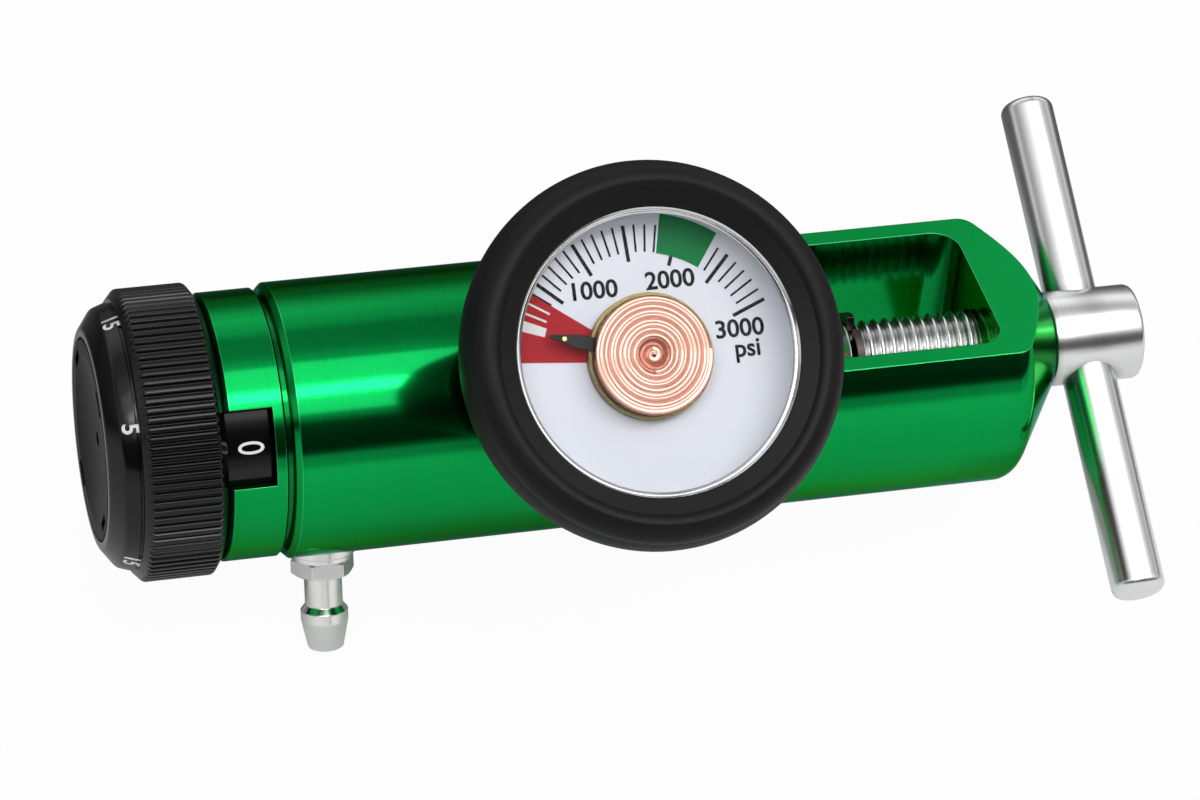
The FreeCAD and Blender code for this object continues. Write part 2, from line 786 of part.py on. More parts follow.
def barb_fitting():
    """Turned from hexagon bar: thread into the core, collar, hexagon, neck and one hose ridge."""
    seat = body_r - barb_spot_depth + barb_washer_thickness
    hex_low = seat + barb_collar_height
    hex_high = hex_low + barb_hex_height
    neck_end = hex_high + barb_neck_length
    land = neck_end + barb_ridge_rise
    taper = land + barb_ridge_land
    tip = taper + barb_taper_length
    corner = barb_hex_flats / math.sqrt(3)
    bevel = corner - barb_hex_flats / 2
    chamfered = spun((0, hex_low), (barb_hex_flats / 2, hex_low), (corner, hex_low + 0.6 * bevel),
                     (corner, hex_high - 0.6 * bevel), (barb_hex_flats / 2, hex_high), (0, hex_high))
    fitting = hexagon(barb_hex_flats, hex_low, hex_high).common(chamfered)
    fitting = fitting.fuse(upright(barb_collar_r, seat, hex_low))
    fitting = fitting.fuse(upright(barb_thread_r, barb_thread_end, seat))
    round_middle = (barb_tip_r - 0.29 * barb_tip_round, tip - 0.29 * barb_tip_round)
    hose_end = spun((0, hex_high), (barb_neck_r, hex_high), (barb_neck_r, neck_end), (barb_ridge_r, land),
                    (barb_ridge_r, taper), (barb_tip_r, tip - barb_tip_round),
                    (round_middle, (barb_tip_r - barb_tip_round, tip)), (0, tip))
    fitting = fitting.fuse(hose_end)
    return at_outlet(fitting.cut(upright(barb_bore_r, barb_thread_end - 1, tip + 1)))


def gauge_socket():
    """Brass stem: taper thread, wrench square, neck, block inside the case, and the coil's tube."""
    half = socket_square / 2
    socket = upright(socket_thread_r, gauge_thread_bottom, square_start)
    socket = socket.fuse(block((-half, -half, square_start), (half, half, square_end)))
    socket = socket.fuse(upright(socket_neck_r, square_end, case_back + case_wall))
    socket = socket.fuse(upright(socket_block_r, case_back + case_wall, dial_back))
    socket = socket.fuse(upright(tube_r, dial_back, coil_base))
    return on_gauge(socket.cut(upright(socket_bore_r, gauge_thread_bottom - 1, coil_base + 1)))


def gauge_case():
    inner = case_r - case_wall
    floor = case_back + case_wall
    return on_gauge(spun((socket_neck_r, case_back), (case_r, case_back), (case_r, crystal_top),
                         (inner, crystal_top), (inner, floor), (socket_neck_r, floor)))


def gauge_boot():
    """Rubber boot stretched over the case, with a raised lip round the crystal."""
    return on_gauge(spun((boot_hole_r, boot_back), (boot_back_r, boot_back),
                         ((boot_back_r + 0.7 * (boot_shoulder_r - boot_back_r),
                           boot_back + 0.3 * (boot_shoulder - boot_back)),
                          (boot_shoulder_r, boot_shoulder)),
                         (boot_wide_r - 0.2, boot_wide - 2.2),
                         ((boot_wide_r, boot_wide), (boot_wide_r - 0.6, boot_wide + 2.2)),
                         ((boot_crest_r + 1.6, boot_crest - 0.9), (boot_crest_r, boot_crest)),
                         ((boot_crest_r - 0.7, boot_crest - 0.15), (boot_crest_r - 1.2, boot_crest - 0.6)),
                         (boot_lip_r, boot_lip), (boot_lip_r, bezel_top), (case_r, bezel_top),
                         (case_r, case_back), (boot_hole_r, case_back)))


def dial_plate():
    radius = case_r - case_wall - dial_play
    return on_gauge(spun((tube_r, dial_back), (radius, dial_back), (radius, dial_face), (tube_r, dial_face)))


def coil_cup():
    top = dial_face + cup_height
    floor = dial_face + cup_wall
    return on_gauge(spun((tube_r, dial_face), (cup_r, dial_face), (cup_r, top), (cup_r - cup_wall, top),
                         (cup_r - cup_wall, floor), (tube_r, floor)))


def pointer():
    """Flat blade on a hub that turns on the coil's tube."""
    top = pointer_base + pointer_thickness
    hub = upright(pointer_hub_r, pointer_base, top)
    root, tip = pointer_root_width / 2, pointer_tip_width / 2
    shoulder = 0.72 * pointer_reach
    spots = [V(0, -root, 0), V(shoulder, -root, 0), V(pointer_reach, -tip, 0), V(pointer_reach, tip, 0),
             V(shoulder, root, 0), V(0, root, 0), V(0, -root, 0)]
    blade = Part.Face(Part.makePolygon(spots)).extrude(V(0, 0, pointer_thickness))
    needle = hub.fuse(blade.translated(V(0, 0, pointer_base)))
    needle = needle.cut(upright(tube_r + pointer_play, pointer_base - 1, top + 1))
    return on_gauge(needle.rotated(ORIGIN, Z_AXIS, pointer_rest_angle))


def bourdon_coil():
    """Spiral of flattened tube, wound flat and close: a shallow disc with a dip over its centre."""
    top = coil_base + coil_thickness
    return on_gauge(spun((0, coil_base), (coil_r, coil_base), (coil_r, top - 0.5),
                         ((coil_r - 0.15, top - 0.15), (coil_r - 0.5, top)), (coil_dip_r, top),
                         (0.4 * coil_dip_r, top - coil_dip), (0, top - coil_dip)))


def crystal():
    return on_gauge(upright(case_r - case_wall - crystal_edge_play, crystal_back, crystal_top))


def gauge_bezel():
    """Thin bright ring that holds the crystal down on the case."""
    return on_gauge(spun((bezel_bore_r, crystal_top), (case_r, crystal_top), (case_r, bezel_top),
                         (bezel_bore_r + 0.3, bezel_top), (bezel_bore_r, bezel_top - 0.3)))


# Places that more than one piece shares
index_places = [(side * index_radius * math.sin(math.radians(index_angle)),
                 -index_radius * math.cos(math.radians(index_angle))) for side in (1, -1)]
head_screw_angles = [head_screw_start + k * 360 / head_screws for k in range(head_screws)]
head_screw_right = web_left + head_screw_length
nose_waist_r = nipple_nose_r - nose_relief
nose_waist_end = washer_thickness + washer_nose_play
filter_left = nipple_nose_length - filter_setback - filter_length
inlet_ring_stations = [-gauge_station + inlet_ring_spacing, -gauge_station - 0.85 * inlet_ring_spacing]
shaft_ring_station = (web_left + head_hub_left) / 2
head_ring_station = (spigot_right + body_left) / 2
ball_centre = knob_web_right + ball_crest_gap + ball_r
dimple_centre = knob_web_right - dimple_depth + ball_r + ball_play
skirt_right = web_left - skirt_end_gap

yoke = whole_yoke()
pieces = {
    "yoke_body": yoke_side(body_left - 1, frame_offset),
    "yoke_frame": yoke_side(frame_offset, body_right + 1),
    "clamp_screw": clamp_screw(),
    "tee_bar": tee_bar(),
    "screw_retaining_ring": screw_retaining_ring(),
    "inlet_nipple": inlet_nipple(),
    "inlet_filter": inlet_filter(),
    "inlet_o_ring_right": inlet_ring(inlet_ring_stations[0]),
    "inlet_o_ring_left": inlet_ring(inlet_ring_stations[1]),
    "seal_washer_rubber": seal_washer_rubber(),
    "seal_washer_shell": seal_washer_shell(),
    "index_pin_rear": index_pin(*index_places[0]),
    "index_pin_front": index_pin(*index_places[1]),
    "piston": piston(),
    "piston_seat": piston_seat(),
    "piston_o_ring": piston_o_ring(),
    "stem_o_ring": stem_o_ring(),
    "regulating_spring": regulating_spring(),
    "flow_core": flow_core(),
    "port_seal": port_seal(),
    "orifice_disc": orifice_disc(),
    "selector_shaft": selector_shaft(),
    "shaft_o_ring": shaft_o_ring(),
    "flow_head": flow_head(),
    "head_o_ring": head_o_ring(),
    "detent_ball": detent_ball(),
    "detent_spring": detent_spring(),
    "flow_knob": flow_knob(),
    "knob_cap": knob_cap(),
    "knob_screw": knob_screw(),
    "barb_washer": barb_washer(),
    "barb_fitting": barb_fitting(),
    "gauge_socket": gauge_socket(),
    "gauge_case": gauge_case(),
    "gauge_boot": gauge_boot(),
    "dial_plate": dial_plate(),
    "coil_cup": coil_cup(),
    "pointer": pointer(),
    "bourdon_coil": bourdon_coil(),
    "crystal": crystal(),
    "gauge_bezel": gauge_bezel(),
}
for number, angle in enumerate(head_screw_angles, 1):
    pieces["head_screw_%d" % number] = head_screw(angle)

os.makedirs("parts", exist_ok=True)
for name, shape in pieces.items():
    solids = shape.Solids
    print("%-22s %d solid  valid %s  volume %9.2f" % (name, len(solids), shape.isValid(), shape.Volume))
    piece = solids[0] if len(solids) == 1 else Part.makeCompound(solids)
    piece.exportStep("parts/%s.step" % name)
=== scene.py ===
import math

import bmesh
import bpy
from mathutils import Matrix, Vector


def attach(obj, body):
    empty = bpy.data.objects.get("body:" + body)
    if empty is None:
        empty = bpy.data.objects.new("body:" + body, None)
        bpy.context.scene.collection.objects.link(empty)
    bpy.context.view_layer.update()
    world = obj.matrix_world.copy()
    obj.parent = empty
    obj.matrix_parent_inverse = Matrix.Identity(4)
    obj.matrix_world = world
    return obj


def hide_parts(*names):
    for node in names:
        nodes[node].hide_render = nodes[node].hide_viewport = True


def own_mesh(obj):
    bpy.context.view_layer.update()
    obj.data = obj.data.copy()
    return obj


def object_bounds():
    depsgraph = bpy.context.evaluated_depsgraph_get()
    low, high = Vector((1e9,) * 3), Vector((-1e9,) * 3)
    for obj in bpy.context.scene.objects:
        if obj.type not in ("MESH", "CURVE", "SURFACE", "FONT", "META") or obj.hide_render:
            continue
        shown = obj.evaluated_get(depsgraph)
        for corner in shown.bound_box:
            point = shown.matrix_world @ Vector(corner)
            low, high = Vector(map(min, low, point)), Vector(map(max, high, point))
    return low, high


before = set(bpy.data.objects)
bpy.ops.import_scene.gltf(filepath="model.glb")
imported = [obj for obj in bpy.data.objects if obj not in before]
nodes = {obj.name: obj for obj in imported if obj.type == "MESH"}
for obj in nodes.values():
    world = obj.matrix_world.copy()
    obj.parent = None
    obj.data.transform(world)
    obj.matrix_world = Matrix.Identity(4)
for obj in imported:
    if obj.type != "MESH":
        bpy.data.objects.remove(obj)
cad_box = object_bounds()

# Photographer's place. A long lens looks down on the regulator from the front left, with the gauge
# almost square to it. Millimetres become metres wherever a mesh or an object is made.
millimetre = 0.001
camera_place = (-0.1614, -0.4744, 0.4033)
camera_turn = (50.695, -4.092, -14.22)
camera_lens = 150.0

camera_data = bpy.data.cameras.new("camera")
camera_data.lens = camera_lens
camera_data.sensor_width = 36.0
camera_data.clip_start = 0.01
camera_data.clip_end = 20.0
camera = bpy.data.objects.new("camera", camera_data)
camera.location = camera_place
camera.rotation_euler = [math.radians(angle) for angle in camera_turn]
bpy.context.scene.collection.objects.link(camera)
bpy.context.scene.camera = camera
bpy.context.scene.view_settings.view_transform = "Standard"


# Studio sweep. A plain white table top just under the part's lowest point. Cameras see it white, it
# keeps the part's soft shadow, and reflections see its own paper with a little glow in front. In
# reflections it also carries a painted shadow of the part near it and painted shade behind it.
table_gap = 0.0002
table_reach = 4.0
table_seen_glow = 0.96
# Glow in reflections, near the part and away in front, and the distances along -Y between which it grows.
# The low glow near the part is a painted shadow of the part
table_mirrored_glow = (0.03, 0.42)
table_glow_reach = (0.03, 0.17)
# Painted shade: reflections see the table's paper darker behind the part, where the room is dim
table_shade_reach = (0.02, 0.09)
paper_tone = (252, 252, 252)
paper_shaded_tone = (96, 96, 96)


def linear(red, green, blue):
    """A colour as written for the eye, 0 to 255, in the linear values that a shader takes."""
    def channel(value):
        part = value / 255
        return part / 12.92 if part <= 0.04045 else ((part + 0.055) / 1.055) ** 2.4
    return (channel(red), channel(green), channel(blue), 1.0)


def new_material(name):
    """An empty node material with its output."""
    material = bpy.data.materials.new(name)
    material.use_nodes = True
    material.node_tree.nodes.clear()
    output = material.node_tree.nodes.new("ShaderNodeOutputMaterial")
    return material, material.node_tree.nodes, material.node_tree.links, output


def math_node(tree_nodes, links, operation, *values):
    """A Math node whose inputs are numbers or the sockets that feed them."""
    node = tree_nodes.new("ShaderNodeMath")
    node.operation = operation
    for socket, value in zip(node.inputs, values):
        if isinstance(value, (int, float)):
            socket.default_value = value
        else:
            links.new(value, socket)
    return node.outputs[0]


table_material, tree, links, output = new_material("table_white")
light_path = tree.new("ShaderNodeLightPath")
seen = math_node(tree, links, "MAXIMUM", light_path.outputs["Is Camera Ray"],
                 light_path.outputs["Is Transmission Ray"])
seen = math_node(tree, links, "MULTIPLY", seen, table_seen_glow)
place = tree.new("ShaderNodeTexCoord")
parts = tree.new("ShaderNodeSeparateXYZ")
links.new(place.outputs["Object"], parts.inputs[0])
# Painted shadow: the glow in reflections is low near the part and grows away in front
away = tree.new("ShaderNodeMapRange")
links.new(math_node(tree, links, "MULTIPLY", parts.outputs["Y"], -1.0), away.inputs["Value"])
away.inputs["From Min"].default_value, away.inputs["From Max"].default_value = table_glow_reach
away.inputs["To Min"].default_value, away.inputs["To Max"].default_value = table_mirrored_glow
mirrored = math_node(tree, links, "MULTIPLY", light_path.outputs["Is Glossy Ray"], away.outputs[0])
share = math_node(tree, links, "MAXIMUM", seen, mirrored)
paper = tree.new("ShaderNodeBsdfDiffuse")
# Painted shade: reflections see the paper go to the shaded tone behind the part
behind = tree.new("ShaderNodeMapRange")
links.new(parts.outputs["Y"], behind.inputs["Value"])
behind.inputs["From Min"].default_value, behind.inputs["From Max"].default_value = table_shade_reach
darker = math_node(tree, links, "MULTIPLY", light_path.outputs["Is Glossy Ray"], behind.outputs[0])
reflected_paper_shade = tree.new("ShaderNodeMix")
reflected_paper_shade.data_type = "RGBA"
links.new(darker, reflected_paper_shade.inputs["Factor"])
reflected_paper_shade.inputs[6].default_value = linear(*paper_tone)
reflected_paper_shade.inputs[7].default_value = linear(*paper_shaded_tone)
links.new(reflected_paper_shade.outputs[2], paper.inputs["Color"])
glow = tree.new("ShaderNodeEmission")
glow.inputs["Color"].default_value = (1.0, 1.0, 1.0, 1.0)
blend = tree.new("ShaderNodeMixShader")
links.new(share, blend.inputs[0])
links.new(paper.outputs[0], blend.inputs[1])
links.new(glow.outputs[0], blend.inputs[2])
links.new(blend.outputs[0], output.inputs["Surface"])

table_height = cad_box[0].z - table_gap
table_mesh = bpy.data.meshes.new("table_top")
table_corners = [(across * table_reach, along * table_reach, table_height)
                 for across, along in ((-1, -1), (1, -1), (1, 1), (-1, 1))]
table_mesh.from_pydata(table_corners, [], [(0, 1, 2, 3)])
table_mesh.materials.append(table_material)
table = bpy.data.objects.new("table_top", table_mesh)
bpy.context.scene.collection.objects.link(table)


# Room. Reflections see it bright overhead and high behind, dim low behind, with a dark wall low in
# front, which draws the dark stripe along the green barrel and the steel. Its diffuse light is plain.
room_fill = 0.24
# Tilt of a ray from straight up towards the front, in degrees, and how bright the room is there
room_stripes = ((-95, 0.14), (-76, 0.3), (-48, 1.2), (-36, 0.95), (-24, 0.5), (-10, 0.54), (2, 0.95),
                (20, 1.05), (40, 1.0), (48, 0.7), (57, 0.07), (80, 0.035), (84, 0.72))
# The same from left to right, by the ray's slope along X
side_stripes = ((-1.0, 0.9), (-0.88, 0.58), (-0.6, 0.85), (-0.4, 1.0), (0.1, 1.0), (0.25, 0.55),
                (0.42, 1.0), (0.8, 0.85), (1.0, 0.6))

world = bpy.data.worlds.new("studio")
bpy.context.scene.world = world
world.use_nodes = True
tree = world.node_tree.nodes
links = world.node_tree.links
tree.clear()
ray = tree.new("ShaderNodeTexCoord")
parts = tree.new("ShaderNodeSeparateXYZ")
links.new(ray.outputs["Generated"], parts.inputs[0])
frontward = math_node(tree, links, "MULTIPLY", parts.outputs["Y"], -1.0)
tilt = math_node(tree, links, "ARCTAN2", frontward, parts.outputs["Z"])


def striped(tree, links, value, stops):
    """How bright the room is, from stops of a value and a level."""
    low, high = stops[0][0], stops[-1][0]
    along = tree.new("ShaderNodeMapRange")
    links.new(value, along.inputs["Value"])
    along.inputs["From Min"].default_value = low
    along.inputs["From Max"].default_value = high
    ramp = tree.new("ShaderNodeValToRGB")
    ramp.color_ramp.interpolation = "EASE"
    links.new(along.outputs[0], ramp.inputs[0])
    for index, (spot, level) in enumerate(stops):
        spot = (spot - low) / (high - low)
        stop = ramp.color_ramp.elements[index] if index < 2 else ramp.color_ramp.elements.new(spot)
        stop.position = spot
        stop.color = (level, level, level, 1.0)
    return ramp.outputs["Color"]


tilt = math_node(tree, links, "DEGREES", tilt)
level = math_node(tree, links, "MULTIPLY", striped(tree, links, tilt, room_stripes),
                  striped(tree, links, parts.outputs["X"], side_stripes))
light_path = tree.new("ShaderNodeLightPath")
reflected = tree.new("ShaderNodeBackground")
links.new(level, reflected.inputs["Color"])
plain = tree.new("ShaderNodeBackground")
plain.inputs["Color"].default_value = (room_fill, room_fill, room_fill, 1.0)
white = tree.new("ShaderNodeBackground")
white.inputs["Color"].default_value = (1.0, 1.0, 1.0, 1.0)
seen = math_node(tree, links, "MAXIMUM", light_path.outputs["Is Camera Ray"],
                 light_path.outputs["Is Transmission Ray"])
first = tree.new("ShaderNodeMixShader")
links.new(light_path.outputs["Is Glossy Ray"], first.inputs[0])
links.new(plain.outputs[0], first.inputs[1])
links.new(reflected.outputs[0], first.inputs[2])
second = tree.new("ShaderNodeMixShader")
links.new(seen, second.inputs[0])
links.new(first.outputs[0], second.inputs[1])
links.new(white.outputs[0], second.inputs[2])
world_output = tree.new("ShaderNodeOutputWorld")
links.new(second.outputs[0], world_output.inputs["Surface"])

# Lamps. A broad soft box over the front and a narrow bright strip in its lower half, which gives the
# barrel its bright line. Both hang on the photographer's side, along the part.
lamps = (("soft_box", 26.0, 0.9, (1.4, 0.7), 4.0), ("strip_light", 29.0, 0.85, (1.3, 0.13), 2.8))
lamp_side = 0.1
for name, from_up, distance, size, power in lamps:
    lamp_data = bpy.data.lights.new(name, "AREA")
    lamp_data.shape = "RECTANGLE"
    lamp_data.size, lamp_data.size_y = size
    lamp_data.energy = power
    lamp = bpy.data.objects.new(name, lamp_data)
    up_share = math.sqrt(1 - lamp_side ** 2)
    toward = Vector((lamp_side, -up_share * math.sin(math.radians(from_up)),
                     up_share * math.cos(math.radians(from_up))))
    lamp.location = distance * toward
    lamp.rotation_euler = toward.to_track_quat("Z", "Y").to_euler()
    bpy.context.scene.collection.objects.link(lamp)


# Yoke. One aluminium bar, turned, bored and milled, then anodised green, so the fine tool lines show
# under a clear hard skin. The bright edges are where the cutter left a tiny bevel, which the rounded
# normal shades, with a painted highlight laid on them. Its pockets get painted shade.
anodised_tone = (0, 152, 68)
anodised_pale = (0, 162, 75)
# Painted highlight: the colour laid on the yoke's bevelled edges
anodised_edge_highlight = (90, 240, 150)
anodised_skin = 0.09
skin_roughness = 0.06
# How much of a machined edge's colour is its painted highlight, and how much rougher machined edges are
edge_highlight_share = 0.7
edge_roughness = 0.2
bevel_radius = 0.0002


def new_group(name, inputs, outputs):
    """A shader node group with its named sockets."""
    group = bpy.data.node_groups.new(name, "ShaderNodeTree")
    for label, kind, value in inputs:
        socket = group.interface.new_socket(label, in_out="INPUT", socket_type=kind)
        if value is not None:
            socket.default_value = value
    for label, kind in outputs:
        group.interface.new_socket(label, in_out="OUTPUT", socket_type=kind)
    return group, group.nodes.new("NodeGroupInput"), group.nodes.new("NodeGroupOutput")


# Tool lines run round the part: they depend on the place along X and on the distance from the axis
tool_lines, given, result = new_group(
    "tool_lines",
    (("Fineness", "NodeSocketFloat", 3000.0), ("Drift", "NodeSocketFloat", 40.0)),
    (("Height", "NodeSocketFloat"), ("Tone", "NodeSocketFloat")))
tree, links = tool_lines.nodes, tool_lines.links
place = tree.new("ShaderNodeTexCoord")
parts = tree.new("ShaderNodeSeparateXYZ")
links.new(place.outputs["Object"], parts.inputs[0])
squares = [math_node(tree, links, "MULTIPLY", parts.outputs[axis], parts.outputs[axis]) for axis in "YZ"]
radius = math_node(tree, links, "SQRT", math_node(tree, links, "ADD", *squares))
pair = tree.new("ShaderNodeCombineXYZ")
links.new(parts.outputs["X"], pair.inputs["X"])
links.new(radius, pair.inputs["Y"])
lines = tree.new("ShaderNodeTexNoise")
lines.noise_dimensions = "2D"
lines.inputs["Detail"].default_value = 3.0
links.new(pair.outputs[0], lines.inputs["Vector"])
links.new(given.outputs["Fineness"], lines.inputs["Scale"])
clouds = tree.new("ShaderNodeTexNoise")
clouds.inputs["Detail"].default_value = 2.0
links.new(place.outputs["Object"], clouds.inputs["Vector"])
links.new(given.outputs["Drift"], clouds.inputs["Scale"])
links.new(lines.outputs["Fac"], result.inputs["Height"])
tone = math_node(tree, links, "MULTIPLY", lines.outputs["Fac"], 0.35)
tone = math_node(tree, links, "MULTIPLY_ADD", clouds.outputs["Fac"], 0.65, tone)
links.new(tone, result.inputs["Tone"])

# Bevelled edges: where the surface within a small radius bends away from the true one. Machined finishes
# lay a painted highlight on this mask
edge_bevel, given, result = new_group(
    "edge_bevel",
    (("Height", "NodeSocketFloat", 0.0), ("Relief", "NodeSocketFloat", 0.00002)),
    (("Edge", "NodeSocketFloat"), ("Normal", "NodeSocketVector")))
tree, links = edge_bevel.nodes, edge_bevel.links
rounding = tree.new("ShaderNodeBevel")
rounding.samples = 6
rounding.inputs["Radius"].default_value = bevel_radius
true_normal = tree.new("ShaderNodeNewGeometry")
alike = tree.new("ShaderNodeVectorMath")
alike.operation = "DOT_PRODUCT"
links.new(rounding.outputs["Normal"], alike.inputs[0])
links.new(true_normal.outputs["Normal"], alike.inputs[1])
edge = tree.new("ShaderNodeMapRange")
links.new(alike.outputs["Value"], edge.inputs["Value"])
edge.inputs["From Min"].default_value = 0.998
edge.inputs["From Max"].default_value = 0.9
links.new(edge.outputs[0], result.inputs["Edge"])
relief = tree.new("ShaderNodeBump")
relief.inputs["Strength"].default_value = 1.0
links.new(given.outputs["Height"], relief.inputs["Height"])
links.new(given.outputs["Relief"], relief.inputs["Distance"])
links.new(rounding.outputs["Normal"], relief.inputs["Normal"])
links.new(relief.outputs["Normal"], result.inputs["Normal"])


# Hollows: painted shade, the colour going towards black where walls close in, in pockets and threads
hollow_shade, given, result = new_group(
    "hollow_shade", (("Reach", "NodeSocketFloat", 0.01), ("Depth", "NodeSocketFloat", 0.5)),
    (("Shade", "NodeSocketFloat"),))
tree, links = hollow_shade.nodes, hollow_shade.links
opening = tree.new("ShaderNodeAmbientOcclusion")
opening.samples = 4
links.new(given.outputs["Reach"], opening.inputs["Distance"])
closed_in = math_node(tree, links, "SUBTRACT", 1.0, opening.outputs["AO"])
loss = math_node(tree, links, "MULTIPLY", closed_in, given.outputs["Depth"])
links.new(math_node(tree, links, "SUBTRACT", 1.0, loss), result.inputs["Shade"])


def placed(tree, group, **values):
    """A group node with its own values."""
    node = tree.new("ShaderNodeGroup")
    node.node_tree = group
    for label, value in values.items():
        node.inputs[label].default_value = value
    return node


def toned(tree, links, factor, *stops):
    """Colour ramp from (position, colour) stops."""
    ramp = tree.new("ShaderNodeValToRGB")
    links.new(factor, ramp.inputs[0])
    for index, (spot, colour) in enumerate(stops):
        stop = ramp.color_ramp.elements[index] if index < 2 else ramp.color_ramp.elements.new(spot)
        stop.position = spot
        stop.color = colour
    return ramp.outputs["Color"]


def ranged(tree, links, factor, low, high):
    """Maps 0 to 1 onto low to high."""
    reach = tree.new("ShaderNodeMapRange")
    links.new(factor, reach.inputs["Value"])
    reach.inputs["To Min"].default_value = low
    reach.inputs["To Max"].default_value = high
    return reach.outputs[0]


def machined(name, dull, pale, edge_highlight_colour, rough, fineness=2600.0, relief=0.0000008, skin=0.0,
             hollow=None):
    """A machined or plated finish: tool lines, slight drift of tone, a painted highlight on edges, painted
    shade in hollows.
    """
    material, tree, links, output = new_material(name)
    shader = tree.new("ShaderNodeBsdfPrincipled")
    marks = placed(tree, tool_lines, Fineness=fineness)
    bevel = placed(tree, edge_bevel, Relief=relief)
    links.new(marks.outputs["Height"], bevel.inputs["Height"])
    colour = toned(tree, links, marks.outputs["Tone"], (0.3, linear(*dull)), (0.7, linear(*pale)))
    # Painted highlight: the edge mask blends the colour towards the edge colour
    mix = tree.new("ShaderNodeMix")
    mix.data_type = "RGBA"
    links.new(math_node(tree, links, "MULTIPLY", bevel.outputs["Edge"], edge_highlight_share), mix.inputs["Factor"])
    links.new(colour, mix.inputs[6])
    mix.inputs[7].default_value = linear(*edge_highlight_colour)
    colour = mix.outputs[2]
    # Painted shade: in hollows the colour goes towards black
    if hollow:
        shade = placed(tree, hollow_shade, Reach=hollow[0], Depth=hollow[1])
        darker = tree.new("ShaderNodeMix")
        darker.data_type = "RGBA"
        links.new(shade.outputs["Shade"], darker.inputs["Factor"])
        links.new(colour, darker.inputs[7])
        darker.inputs[6].default_value = (0.0, 0.0, 0.0, 1.0)
        colour = darker.outputs[2]
    links.new(colour, shader.inputs["Base Color"])
    smooth = ranged(tree, links, marks.outputs["Tone"], rough[0], rough[1])
    rougher = math_node(tree, links, "MULTIPLY_ADD", bevel.outputs["Edge"], edge_roughness, smooth)
    links.new(rougher, shader.inputs["Roughness"])
    links.new(bevel.outputs["Normal"], shader.inputs["Normal"])
    shader.inputs["Metallic"].default_value = 1.0
    shader.inputs["Coat Weight"].default_value = skin
    shader.inputs["Coat Roughness"].default_value = skin_roughness
    links.new(shader.outputs[0], output.inputs["Surface"])
    return material


def finished(material, *names):
    """Gives CAD nodes their material."""
    for name in names:
        piece = nodes[name]
        if not piece.material_slots:
            piece.data.materials.append(material)
        for place in piece.material_slots:
            place.material = material


# The yoke's finish, with a painted highlight on its edges and painted shade in its pockets
anodised = machined("anodised_green", anodised_tone, anodised_pale, anodised_edge_highlight, (0.1, 0.15), 2600.0,
                    0.0000003, anodised_skin, (0.008, 0.9))
anodised.node_tree.nodes["Principled BSDF"].inputs["Specular Tint"].default_value = (0.02, 0.5, 0.32, 1.0)
finished(anodised, "yoke_body", "yoke_frame", "flow_head")


# Flow knob. One black nylon moulding with a ribbed grip ring, a smooth front band and, behind, the
# drum that carries the settings. It is pressed on the shaft and turns inside the green sleeve.
web_back = -61.95
grip_r = 18.46
knob_corners = ((-57.1, 13.4, 0.1), (-57.1, 15.6, 0.25), (-62.85, 15.6, 0.1), (-62.85, 16.7, 0.12),
                (-64.1, grip_r, 0.25), (-72.5, grip_r, 0.25), (-73.5, 17.35, 0.1), (-73.5, 16.75, 0.05),
                (-73.85, 16.75, 0.05), (-73.85, 16.9, 0.08), (-75.6, 16.3, 0.35), (-77.35, 13.9, 0.35),
                (-77.35, 12.92, 0.12), (-75.45, 12.92, 0.0), (-75.45, 12.0, 0.0), (-64.95, 12.0, 0.0),
                (-64.95, 6.0, 0.0), (-70.45, 6.0, 0.0), (-70.45, 3.02, 0.0), (web_back, 3.02, 0.0),
                *[(web_back, 8.3 + 0.2 * step, 0.0) for step in range(13)], (web_back, 13.4, 0.0))
# Round hollows in the web's back, one for each setting, that the click ball drops into
dimple_ring_r = 9.5
dimple_angle = 241.0
dimple_depth = 0.4
dimple_ball_r = 1.3
settings = 12
ribs = 96
rib_root = 17.95
rib_reach = (-73.45, -62.9)
grip_steps = 9


def rounded(corners):
    """Rounds a closed profile's corners, each given as (x, radius, length taken off both sides)."""
    line = []
    for index, (x, r, cut) in enumerate(corners):
        here = Vector((x, r))
        before = Vector(corners[index - 1][:2])
        after = Vector(corners[(index + 1) % len(corners)][:2])
        if not cut:
            line.append(here)
            continue
        start = here + cut * (before - here).normalized()
        end = here + cut * (after - here).normalized()
        for step in range(5):
            t = step / 4
            line.append(start * (1 - t) ** 2 + here * 2 * t * (1 - t) + end * t * t)
    return line


def divided(line, longest, low, high):
    """Adds points on a closed line's runs between two places along X."""
    result = []
    for here, after in zip(line, line[1:] + line[:1]):
        inside = min(here.x, after.x) >= low and max(here.x, after.x) <= high
        parts = max(1, math.ceil((after - here).length / longest)) if inside else 1
        for part in range(parts):
            result.append(here.lerp(after, part / parts))
    return result


def new_piece(name, points, faces, material, sharp=38.0):
    """A mesh piece from points in millimetres, smooth but for edges sharper than an angle."""
    mesh = bpy.data.meshes.new(name)
    mesh.from_pydata([[millimetre * value for value in point] for point in points], [], faces)
    mesh.validate()
    mesh.shade_smooth()
    mesh.set_sharp_from_angle(angle=math.radians(sharp))
    mesh.materials.append(material)
    piece = bpy.data.objects.new(name, mesh)
    bpy.context.scene.collection.objects.link(piece)
    return piece


def round_grid(line, around, shape=None, closed=True):
    """Points and faces of a line spun about X. The shape may change a point's radius."""
    points, faces = [], []
    for x, r in line:
        for step in range(around):
            angle = 2 * math.pi * step / around
            reach = shape(x, r, angle) if shape else r
            points.append((x, -reach * math.sin(angle), reach * math.cos(angle)))
    rows = len(line)
    for row in range(rows if closed else rows - 1):
        near, far = row * around, (row + 1) % rows * around
        for step in range(around):
            after = (step + 1) % around
            faces.append((near + step, far + step, far + after, near + after))
    if not closed:
        faces.append(tuple(range(around)))
        faces.append(tuple(reversed(range((rows - 1) * around, rows * around))))
    return points, faces


